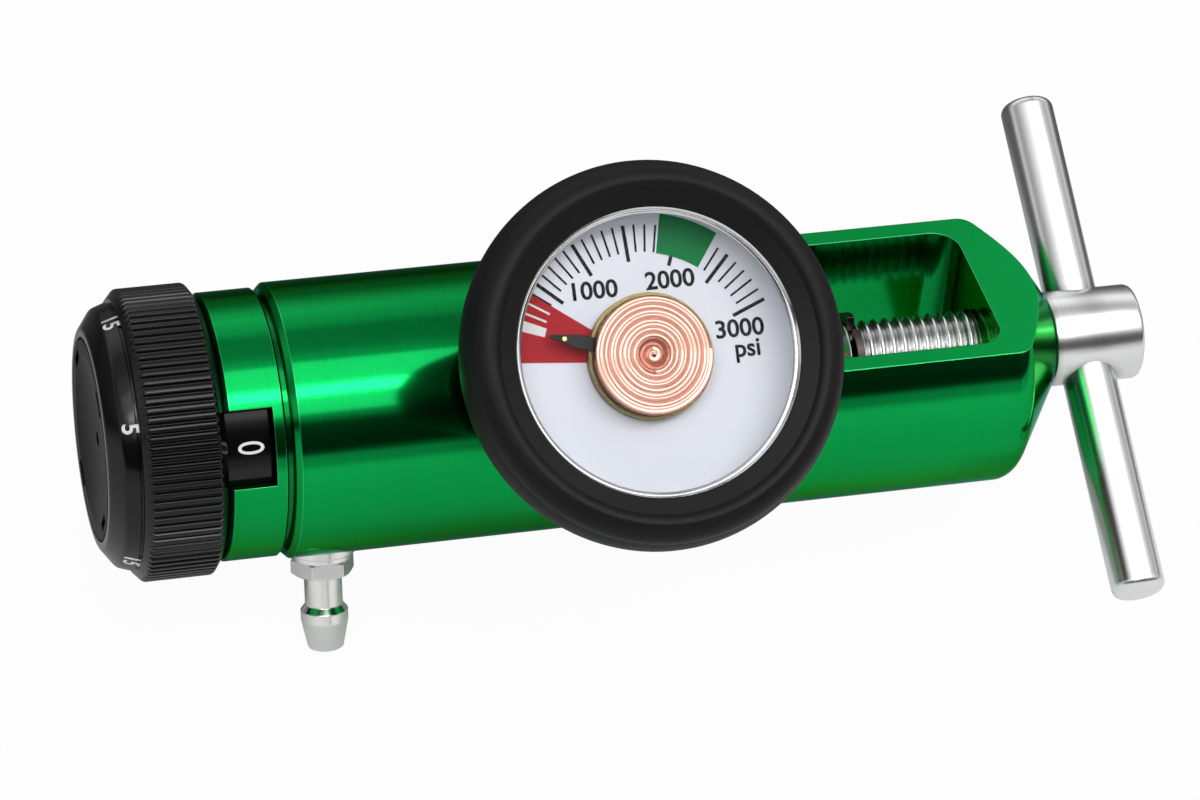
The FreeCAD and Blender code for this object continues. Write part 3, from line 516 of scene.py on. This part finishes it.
def ribbed(x, r, angle):
    """Cuts the grip ring into ribs with rounded crests and narrow valleys."""
    if r <= rib_root or not rib_reach[0] <= x <= rib_reach[1]:
        return r
    wave = 0.5 + 0.5 * math.cos(ribs * angle)
    return min(r, rib_root + (grip_r - rib_root) * (1 - (1 - wave) ** 3))


def dimpled(points):
    """Sinks the click ball's hollows into the points of the web's back."""
    rim = dimple_ball_r - dimple_depth
    result = []
    for x, y, z in points:
        if abs(x - web_back) < 0.001:
            turn = math.degrees(math.atan2(-y, z)) - dimple_angle
            off = math.radians((turn + 180 / settings) % (360 / settings) - 180 / settings)
            reach = math.hypot(y, z)
            gap = math.hypot(reach * math.cos(off) - dimple_ring_r, reach * math.sin(off))
            x -= max(0.0, math.sqrt(max(0.0, dimple_ball_r ** 2 - gap ** 2)) - rim)
        result.append((x, y, z))
    return result


def moulded(name, dark, pale, rough, grain_scale, grain_depth, gloss=0.2):
    """Black plastic or rubber: fine moulding grain, cloudy gloss and slightly paler edges."""
    material, tree, links, output = new_material(name)
    shader = tree.new("ShaderNodeBsdfPrincipled")
    grain = placed(tree, moulding_grain, Scale=grain_scale)
    bevel = placed(tree, edge_bevel, Relief=grain_depth)
    links.new(grain.outputs["Height"], bevel.inputs["Height"])
    colour = toned(tree, links, grain.outputs["Tone"], (0.3, linear(*dark)), (0.75, linear(*pale)))
    links.new(colour, shader.inputs["Base Color"])
    links.new(ranged(tree, links, grain.outputs["Tone"], rough[0], rough[1]), shader.inputs["Roughness"])
    links.new(bevel.outputs["Normal"], shader.inputs["Normal"])
    shader.inputs["Specular IOR Level"].default_value = gloss
    links.new(shader.outputs[0], output.inputs["Surface"])
    return material


# Moulding grain: the fine sparkle of a mould's surface, and slow clouds of gloss over it
moulding_grain, given, result = new_group(
    "moulding_grain", (("Scale", "NodeSocketFloat", 4000.0),),
    (("Height", "NodeSocketFloat"), ("Tone", "NodeSocketFloat")))
tree, links = moulding_grain.nodes, moulding_grain.links
place = tree.new("ShaderNodeTexCoord")
fine = tree.new("ShaderNodeTexNoise")
fine.inputs["Detail"].default_value = 4.0
links.new(place.outputs["Object"], fine.inputs["Vector"])
links.new(given.outputs["Scale"], fine.inputs["Scale"])
clouds = tree.new("ShaderNodeTexNoise")
clouds.inputs["Scale"].default_value = 90.0
clouds.inputs["Detail"].default_value = 3.0
links.new(place.outputs["Object"], clouds.inputs["Vector"])
links.new(fine.outputs["Fac"], result.inputs["Height"])
tone = math_node(tree, links, "MULTIPLY", fine.outputs["Fac"], 0.4)
tone = math_node(tree, links, "MULTIPLY_ADD", clouds.outputs["Fac"], 0.6, tone)
links.new(tone, result.inputs["Tone"])

black_plastic = moulded("black_plastic", (6, 6, 7), (12, 12, 13), (0.11, 0.19), 5200.0, 0.000004, 0.33)
knob_line = divided(rounded(knob_corners), 0.16, rib_reach[0] - 0.1, -72.2)
knob_line = divided(knob_line, 0.2, -64.4, rib_reach[1] + 0.1)
knob_points, knob_faces = round_grid(knob_line, ribs * grip_steps, ribbed)
knob = new_piece("flow_knob_moulding", dimpled(knob_points), knob_faces, black_plastic)
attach(knob, "flow_selector")
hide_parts("flow_knob")
cap_plastic = moulded("cap_plastic", (10, 10, 11), (18, 18, 19), (0.28, 0.4), 5200.0, 0.000004, 0.02)
finished(cap_plastic, "knob_cap")


# Numbers on the knob. White ink, pad-printed on the front band and on the drum, read through the
# sleeve's notch. Their tops point to the barrel. The flow in litres a minute stands on the drum.
band_numbers = (("15", -7.5), ("5", 47.0), ("15", 119.0), ("4", 172.0), ("3", 222.0), ("1", 287.0))
band_number_height = 2.05
drum_settings = ("0", ".25", ".5", "1", "2", "3", "4", "5", "6", "8", "10", "15")
drum_number_height = 3.3
notch_angle = 61.0
ink_thickness = 0.03
ink_gap = 0.01
ink_cut = 0.35


def printed_text(name, text, height, squeeze, place, material, boldness=0.0):
    """Ink characters in the shape of type, centred, laid on a surface by a placing function."""
    type_data = bpy.data.curves.new(name, "FONT")
    type_data.body = text
    type_data.offset = boldness
    type_data.resolution_u = 6
    letters = bpy.data.objects.new(name, type_data)
    bpy.context.scene.collection.objects.link(letters)
    bpy.context.view_layer.update()
    flat = bpy.data.meshes.new_from_object(letters.evaluated_get(bpy.context.evaluated_depsgraph_get()))
    bpy.data.objects.remove(letters)
    shape = bmesh.new()
    shape.from_mesh(flat)
    low = [min(v.co[axis] for v in shape.verts) for axis in (0, 1)]
    high = [max(v.co[axis] for v in shape.verts) for axis in (0, 1)]
    scale = height / (high[1] - low[1])
    for v in shape.verts:
        v.co = Vector(((v.co.x - (low[0] + high[0]) / 2) * scale * squeeze,
                       (v.co.y - (low[1] + high[1]) / 2) * scale, 0.0))
    half = (high[0] - low[0]) / 2 * scale * squeeze
    cuts = int(2 * half / ink_cut)
    for cut in range(1, cuts):
        bmesh.ops.bisect_plane(shape, geom=shape.verts[:] + shape.edges[:] + shape.faces[:],
                               plane_co=(2 * half * cut / cuts - half, 0, 0), plane_no=(1, 0, 0))
    skin = bmesh.ops.extrude_face_region(shape, geom=shape.faces[:])
    for item in skin["geom"]:
        if isinstance(item, bmesh.types.BMVert):
            item.co.z += ink_thickness
    bmesh.ops.recalc_face_normals(shape, faces=shape.faces[:])
    for v in shape.verts:
        v.co = millimetre * Vector(place(*v.co))
    mesh = bpy.data.meshes.new(name)
    shape.to_mesh(mesh)
    shape.free()
    mesh.materials.append(material)
    piece = bpy.data.objects.new(name, mesh)
    bpy.context.scene.collection.objects.link(piece)
    return piece


def round_knob(station, angle, slope, radius):
    """Places print round the knob, with its top towards +X and its foot at the given radius."""
    def place(across, up, out):
        reach = radius + slope * up + out + ink_gap
        turn = math.radians(angle) + across / radius
        return (station + up, -reach * math.sin(turn), reach * math.cos(turn))
    return place


def inked(name, tone, worn):
    """Printing ink: flat colour with a little unevenness."""
    material, tree, links, output = new_material(name)
    shader = tree.new("ShaderNodeBsdfPrincipled")
    grain = placed(tree, moulding_grain, Scale=2500.0)
    colour = toned(tree, links, grain.outputs["Tone"], (0.3, linear(*worn)), (0.6, linear(*tone)))
    links.new(colour, shader.inputs["Base Color"])
    links.new(ranged(tree, links, grain.outputs["Tone"], 0.45, 0.6), shader.inputs["Roughness"])
    shader.inputs["Specular IOR Level"].default_value = 0.1
    links.new(shader.outputs[0], output.inputs["Surface"])
    return material


white_ink = inked("white_ink", (250, 250, 250), (226, 228, 230))
numerals = []
for index, (text, angle) in enumerate(band_numbers):
    numerals.append(printed_text("band_number_%d" % index, text, band_number_height, 1.06,
                                 round_knob(-74.55, angle, 0.35, 16.65), white_ink, 0.02))
for index, text in enumerate(drum_settings):
    height = drum_number_height if index == 0 else 2.6
    squeeze = 0.78 if index == 0 else 0.7
    numerals.append(printed_text("drum_number_%d" % index, text, height, squeeze,
                                 round_knob(-59.75, notch_angle - 30 * index, 0.0, 15.6), white_ink))
for piece in numerals:
    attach(piece, "flow_selector")


# Clamp screw. Stainless, with a real M10 thread cut from its tip to the shoulder of its hub, and the
# snap ring's groove near the tip. The tee bar's hole is drilled through the hub.
screw_tip = 19.0
screw_tip_r = 2.4
screw_tip_slope = 1.3
screw_shoulder = 48.1
thread_r = 5.0
thread_root_r = 4.12
thread_pitch = 1.5
thread_run_out = (46.2, 47.6)
thread_step = 0.1
clip_groove = (21.4, 22.52, 4.0)
hub_steps = ((48.2, 5.6), (48.35, 5.95), (48.8, 6.2), (60.0, 6.2), (60.4, 6.05), (60.6, 5.6))
tee_station = 53.6
tee_angle = -61.5
tee_hole_r = 3.5
drill_reach = 9.0


def threaded(x, r, angle):
    """Cuts the thread, which fades out at the shoulder."""
    if x > thread_run_out[1] or r > thread_r:
        return r
    if clip_groove[0] < x < clip_groove[1]:
        return min(r, clip_groove[2])
    phase = (x / thread_pitch + angle / (2 * math.pi)) % 1.0
    crest = (0.5 + 0.5 * math.cos(2 * math.pi * phase)) ** 0.8
    fade = min(1.0, max(0.0, (thread_run_out[1] - x) / (thread_run_out[1] - thread_run_out[0])))
    cut = (thread_r - thread_root_r) * (1 - crest) * fade
    return min(r, thread_r - cut)


screw_line = [Vector((screw_tip, screw_tip_r))]
station = screw_tip
while station < screw_shoulder:
    station += thread_step
    cone = screw_tip_r + screw_tip_slope * (station - screw_tip)
    screw_line.append(Vector((station, min(thread_r, cone))))
screw_line += [Vector(step) for step in hub_steps]
# Steel, with a painted highlight on its edges and painted shade in the thread
steel = machined("polished_steel", (226, 226, 227), (240, 240, 240), (252, 252, 252), (0.2, 0.27), 3200.0,
                 0.0000006, 0.0, (0.0015, 0.9))
screw = new_piece("clamp_screw_threaded", *round_grid(screw_line, 96, threaded, closed=False), steel, 50.0)
drill_line = [Vector((-drill_reach, tee_hole_r)), Vector((drill_reach, tee_hole_r))]
drill_points, drill_faces = round_grid(drill_line, 96, closed=False)
drill = new_piece("tee_hole_drill", drill_points, drill_faces, steel)
drill.data.transform(Matrix.Rotation(math.radians(-90), 4, "Y"))
drill.data.transform(Matrix.Rotation(math.radians(tee_angle), 4, "X"))
drill.data.transform(Matrix.Translation((millimetre * tee_station, 0, 0)))
hole = screw.modifiers.new("tee_hole", "BOOLEAN")
hole.operation = "DIFFERENCE"
hole.object = drill
bpy.context.view_layer.update()
drilled = bpy.data.meshes.new_from_object(screw.evaluated_get(bpy.context.evaluated_depsgraph_get()))
screw.modifiers.clear()
screw.data = drilled
bpy.data.objects.remove(drill)
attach(screw, "clamp_handle")
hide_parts("clamp_screw")
finished(steel, "tee_bar", "detent_ball", "knob_screw", "head_screw_1", "head_screw_2",
         "head_screw_3", "index_pin_rear", "index_pin_front", "detent_spring")
spring_black = machined("blackened_steel", (52, 50, 48), (74, 71, 68), (110, 106, 100), (0.3, 0.42))
finished(spring_black, "screw_retaining_ring")


# Regulating spring. Round steel wire, coiled inside the body behind the piston. It shortens towards its
# fixed seat as the piston moves; here it has the wire's true shape at rest, on a mesh of its own.
spring_ends = (-37.1, -27.0)
spring_wire_r = 0.8
spring_mean_r = 9.0
spring_turns = 4.5
spring_steps = 270
wire_sides = 14

spring_points, spring_faces = [], []
for step in range(spring_steps + 1):
    share = step / spring_steps
    turn = 2 * math.pi * spring_turns * share
    middle = spring_ends[0] + spring_wire_r + share * (spring_ends[1] - spring_ends[0] - 2 * spring_wire_r)
    for side in range(wire_sides):
        lean = 2 * math.pi * side / wire_sides
        reach = spring_mean_r + spring_wire_r * math.cos(lean)
        spring_points.append((middle + spring_wire_r * math.sin(lean), reach * math.sin(turn),
                              -reach * math.cos(turn)))
for step in range(spring_steps):
    near, far = step * wire_sides, (step + 1) * wire_sides
    for side in range(wire_sides):
        after = (side + 1) % wire_sides
        spring_faces.append((near + side, far + side, far + after, near + after))
spring_faces.append(tuple(range(wire_sides)))
spring_faces.append(tuple(reversed(range(spring_steps * wire_sides, (spring_steps + 1) * wire_sides))))
spring = new_piece("regulating_spring_wire", spring_points, spring_faces, steel, 50.0)
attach(spring, "regulator")
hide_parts("regulating_spring")
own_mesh(spring)


# Inlet, core and other turned brass, with the sintered bronze filter in the inlet's nose. Only the
# nose, its washer and the index pins show, in the yoke's window.
brass = machined("turned_brass", (196, 160, 92), (222, 190, 122), (240, 214, 150), (0.2, 0.34))
finished(brass, "inlet_nipple", "flow_core", "orifice_disc", "selector_shaft", "piston", "gauge_socket",
         "seal_washer_shell")
bronze = machined("sintered_bronze", (128, 92, 58), (164, 122, 80), (180, 140, 100), (0.5, 0.7), 9000.0,
                  0.00003)
finished(bronze, "inlet_filter")
seal_rubber = moulded("seal_rubber", (18, 18, 18), (30, 30, 31), (0.5, 0.65), 3000.0, 0.00002)
finished(seal_rubber, "seal_washer_rubber", "inlet_o_ring_right", "inlet_o_ring_left", "piston_o_ring",
         "stem_o_ring", "port_seal", "shaft_o_ring", "head_o_ring")
seat_plastic = moulded("seat_plastic", (196, 188, 168), (214, 206, 186), (0.4, 0.5), 3000.0, 0.00001)
finished(seat_plastic, "piston_seat")


# Hose barb. Turned from hexagon brass and plated with nickel, bright but with fine tool lines. It is
# screwed into the barrel's underside and sits down on its own washer.
plated = machined("nickel_plate", (228, 228, 228), (242, 242, 241), (252, 252, 252), (0.11, 0.17), 2400.0,
                  0.0000006)
finished(plated, "barb_fitting", "barb_washer")


# Gauge boot. Thick black rubber stretched over the steel case, smooth but not shiny, with a broad
# rounded rim that stands proud of the crystal.
boot_rubber = moulded("boot_rubber", (9, 9, 10), (18, 18, 19), (0.42, 0.58), 3600.0, 0.00002)
finished(boot_rubber, "gauge_boot")
bright_steel = machined("bright_steel", (205, 207, 209), (228, 229, 230), (250, 250, 250), (0.08, 0.16))
finished(bright_steel, "gauge_case", "gauge_bezel")


# Dial. A white enamelled plate with its scale printed on it, in pounds per square inch: black strokes
# and numbers, a red refill sector and a green block at full. Print is thin plates of ink.
dial_station = -13.6
dial_lift = 35.5
dial_right = Vector((1.0, 0.0, 0.0))
dial_up = Vector((0.0, math.sqrt(0.5), math.sqrt(0.5)))
dial_out = Vector((0.0, -math.sqrt(0.5), math.sqrt(0.5)))
dial_axis = Vector((dial_station, 0.0, 0.0))
print_shift = (-0.35, -0.6)
dial_centre = dial_axis + dial_lift * dial_out + print_shift[0] * dial_right + print_shift[1] * dial_up
scale_zero = 161.5
scale_step = (22.4, 0.15)
stroke_outer = 16.85
stroke_major = 12.4
stroke_minor = 13.5
stroke_widths = (0.44, 0.25)
green_block = (54.1, 77.6, 13.4, 18.3)
red_sector = (143.8, 174.6, 7.2, 18.0)
white_block = (155.8, 160.6, 12.9, 16.6)
# Text, distance from the middle, angle, height and width share
dial_numbers = (("1000", 10.75, 119.2, 2.25, 1.03), ("2000", 10.67, 66.8, 2.25, 1.03),
                ("3000", 12.54, 14.0, 2.25, 1.03), ("psi", 12.84, 0.7, 2.8, 0.98))


def on_dial(across, up, out):
    return dial_centre + across * dial_right + up * dial_up + out * dial_out


def add_plate(points, faces, outline, low, high):
    """A flat plate on the dial from its outline of (across, up) places."""
    first, count = len(points), len(outline)
    for lift in (low, high):
        points.extend(tuple(on_dial(across, up, lift)) for across, up in outline)
    faces.append(tuple(range(first + count, first + 2 * count)))
    faces.append(tuple(reversed(range(first, first + count))))
    for index in range(count):
        after = (index + 1) % count
        faces.append((first + index, first + after, first + count + after, first + count + index))


def polar(radius, degrees):
    return (radius * math.cos(math.radians(degrees)), radius * math.sin(math.radians(degrees)))


def sector_outline(low, high, inner, outer):
    steps = max(2, int((high - low) / 1.5))
    turns = [low + (high - low) * step / steps for step in range(steps + 1)]
    return [polar(outer, turn) for turn in turns] + [polar(inner, turn) for turn in reversed(turns)]


def stroke_outline(degrees, inner, outer, width):
    side = Vector(polar(width / 2, degrees + 90))
    ends = [Vector(polar(radius, degrees)) for radius in (inner, outer)]
    return [ends[0] - side, ends[1] - side, ends[1] + side, ends[0] + side]


enamel = inked("dial_enamel", (242, 246, 255), (236, 240, 251))
finished(enamel, "dial_plate")
black_ink = inked("black_ink", (16, 16, 19), (28, 28, 31))
red_ink = inked("red_ink", (186, 30, 40), (174, 32, 42))
green_ink = inked("green_ink", (0, 132, 68), (3, 122, 63))


def scale_angle(mark):
    return scale_zero - scale_step[0] * mark - scale_step[1] * mark * mark


black, red, green, reversed_out = ([], []), ([], []), ([], []), ([], [])
for mark in range(0, 31):
    degrees = scale_angle(mark / 5)
    major = mark % 5 == 0
    inner = stroke_major if major else stroke_minor
    width = stroke_widths[0] if major else stroke_widths[1]
    if degrees > red_sector[0]:
        if mark > 1:
            add_plate(*reversed_out, stroke_outline(degrees, 13.2, 16.6, width), 0.06, 0.09)
    elif green_block[0] - 0.8 < degrees < green_block[1] + 0.8:
        if major:
            add_plate(*black, stroke_outline(degrees, 12.2, green_block[2], width), 0.01, 0.05)
    else:
        add_plate(*black, stroke_outline(degrees, inner, stroke_outer, width), 0.01, 0.05)
add_plate(*red, sector_outline(*red_sector), 0.01, 0.05)
add_plate(*green, sector_outline(*green_block), 0.01, 0.05)
add_plate(*reversed_out, sector_outline(*white_block), 0.06, 0.09)
dial_print = [new_piece("dial_strokes", *black, black_ink), new_piece("dial_red_sector", *red, red_ink),
              new_piece("dial_green_block", *green, green_ink),
              new_piece("dial_white_strokes", *reversed_out, white_ink)]
for text, radius, degrees, height, squeeze in dial_numbers:
    spot = Vector(polar(radius, degrees))

    def place(across, up, out, spot=spot):
        return on_dial(spot.x + across, spot.y + up, out + ink_gap)
    dial_print.append(printed_text("dial_%s" % text, text, height, squeeze, place, black_ink, 0.02))
for piece in dial_print:
    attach(piece, "regulator")


# Pointer and its movement. A thin blackened blade with a brass rivet turns on the coil's tube. The
# coil is copper tube, flattened and wound close in a flat spiral, in a small brass cup.
coil_turns = 13
coil_outer = 7.35
coil_inner = 0.05
coil_base = 37.8
coil_height = 1.2
coil_dip_r = 2.4
coil_dip = 0.62
coil_top_gap = 0.12
coil_steps = 90
# The turns between these distances from the middle lie in the dip and take the copper with painted shade
# all over
painted_shade_reach = (0.7, 2.1)
rivet_reach = 11.0
rivet_r = 0.3
pointer_angle = 163.8
pointer_top = 37.55

needle_black = moulded("needle_black", (12, 12, 12), (22, 22, 22), (0.4, 0.55), 5000.0, 0.000004)
finished(needle_black, "pointer")
cup_brass = machined("cup_brass", (104, 92, 58), (132, 118, 80), (160, 146, 106), (0.3, 0.42))
finished(cup_brass, "coil_cup")
copper = machined("coil_copper", (204, 150, 135), (220, 170, 155), (234, 196, 182), (0.12, 0.17),
                  300.0, 0.0)
# The same copper with painted shade: darker, and a little rougher
copper_painted_shade = machined("coil_shade", (136, 82, 67), (156, 100, 85), (180, 126, 110), (0.22, 0.32),
                       300.0, 0.0)
pitch = (coil_outer - coil_inner) / coil_turns
# Across a tube: how far from its middle, in pitches, and how high, from its foot to its crest
coil_section = [(-0.49, 0.0), (-0.49, 0.86), (-0.44, 0.91), (-0.35, 0.95), (-0.2, 0.985), (0.0, 1.0),
                (0.2, 0.985), (0.35, 0.95), (0.44, 0.91), (0.49, 0.86), (0.49, 0.0)]
# Each turn leans a little its own way, as wound tube does, so the rings catch the light unevenly
coil_lean = 0.2
lean_wave = 2.4
lean_start = 0.5
coil_points, coil_faces = [], []
coil_rows = coil_turns * coil_steps
for row in range(coil_rows + 1):
    turn = 2 * math.pi * row / coil_steps
    middle = min(coil_inner + pitch * (row / coil_steps), coil_outer - 0.47 * pitch)
    dip = coil_dip * max(0.0, 1 - (middle / coil_dip_r) ** 2) if middle < coil_dip_r else 0.0
    lean = coil_lean * math.sin(lean_wave * row / coil_steps + lean_start)
    for across, high in coil_section:
        radius = max(0.02, middle + across * pitch)
        height = coil_base + high * (coil_height - coil_top_gap - dip + lean * across)
        spot = (dial_axis + radius * math.cos(turn) * dial_right + radius * math.sin(turn) * dial_up
                + height * dial_out)
        coil_points.append(tuple(spot))
count = len(coil_section)
for row in range(coil_rows):
    for side in range(count):
        after = (side + 1) % count
        coil_faces.append((row * count + side, row * count + after, (row + 1) * count + after,
                           (row + 1) * count + side))
coil_faces.append(tuple(reversed(range(count))))
coil_faces.append(tuple(range(coil_rows * count, (coil_rows + 1) * count)))
coil = new_piece("pressure_coil", coil_points, coil_faces, copper, 60.0)
coil.data.materials.append(copper_painted_shade)
# Painted shade: the tube's flanks between turns and the turns in the dip take the shaded copper
for polygon in coil.data.polygons:
    station = polygon.index // count * pitch / coil_steps
    if polygon.index % count in (0, 1, 8, 9) or painted_shade_reach[0] < station < painted_shade_reach[1]:
        polygon.material_index = 1
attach(coil, "regulator")
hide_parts("bourdon_coil")

rivet_points, rivet_faces = [], []
rivet_spot = Vector(polar(rivet_reach, pointer_angle)) - Vector(print_shift)
rivet_outline = [rivet_spot + Vector(polar(rivet_r, 15 * step)) for step in range(24)]
rivet_foot = pointer_top - dial_lift
add_plate(rivet_points, rivet_faces, rivet_outline, rivet_foot + 0.002, rivet_foot + 0.07)
rivet = new_piece("pointer_rivet", rivet_points, rivet_faces, brass)
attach(rivet, "needle")


# Crystal. A clear moulded window, clean and without tint, held in by the bezel. Light passes through
# it to the dial, and it reflects little, so that the print reads as it does in the photograph.
crystal_material, tree, links, output = new_material("clear_crystal")
glass = tree.new("ShaderNodeBsdfPrincipled")
glass.inputs["Base Color"].default_value = (1.0, 1.0, 1.0, 1.0)
glass.inputs["Metallic"].default_value = 0.0
glass.inputs["Transmission Weight"].default_value = 1.0
glass.inputs["IOR"].default_value = 1.12
haze = placed(tree, moulding_grain, Scale=300.0)
links.new(ranged(tree, links, haze.outputs["Tone"], 0.0, 0.02), glass.inputs["Roughness"])
clear = tree.new("ShaderNodeBsdfTransparent")
light_path = tree.new("ShaderNodeLightPath")
passing = math_node(tree, links, "MAXIMUM", light_path.outputs["Is Shadow Ray"],
                    light_path.outputs["Is Diffuse Ray"])
blend = tree.new("ShaderNodeMixShader")
links.new(passing, blend.inputs[0])
links.new(glass.outputs[0], blend.inputs[1])
links.new(clear.outputs[0], blend.inputs[2])
links.new(blend.outputs[0], output.inputs["Surface"])
finished(crystal_material, "crystal")

# Its polished rim, a thin bright ring just inside the bezel
rim_steps = 180
rim_line = [Vector((40.63, 16.85)), Vector((40.63, 17.33)), Vector((40.85, 17.33)), Vector((40.72, 17.0))]
rim_points, rim_faces = [], []
for lift, radius in rim_line:
    for step in range(rim_steps):
        turn = 2 * math.pi * step / rim_steps
        spot = (dial_axis + lift * dial_out + radius * math.cos(turn) * dial_right
                + radius * math.sin(turn) * dial_up)
        rim_points.append(tuple(spot))
for row in range(4):
    for step in range(rim_steps):
        near, far, after = rim_steps * row, rim_steps * ((row + 1) % 4), (step + 1) % rim_steps
        rim_faces.append((near + step, near + after, far + after, far + step))
clear_rim = machined("clear_rim", (214, 218, 224), (232, 235, 240), (255, 255, 255), (0.1, 0.16),
                     300.0, 0.0)
rim = new_piece("crystal_rim", rim_points, rim_faces, clear_rim)
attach(rim, "regulator")
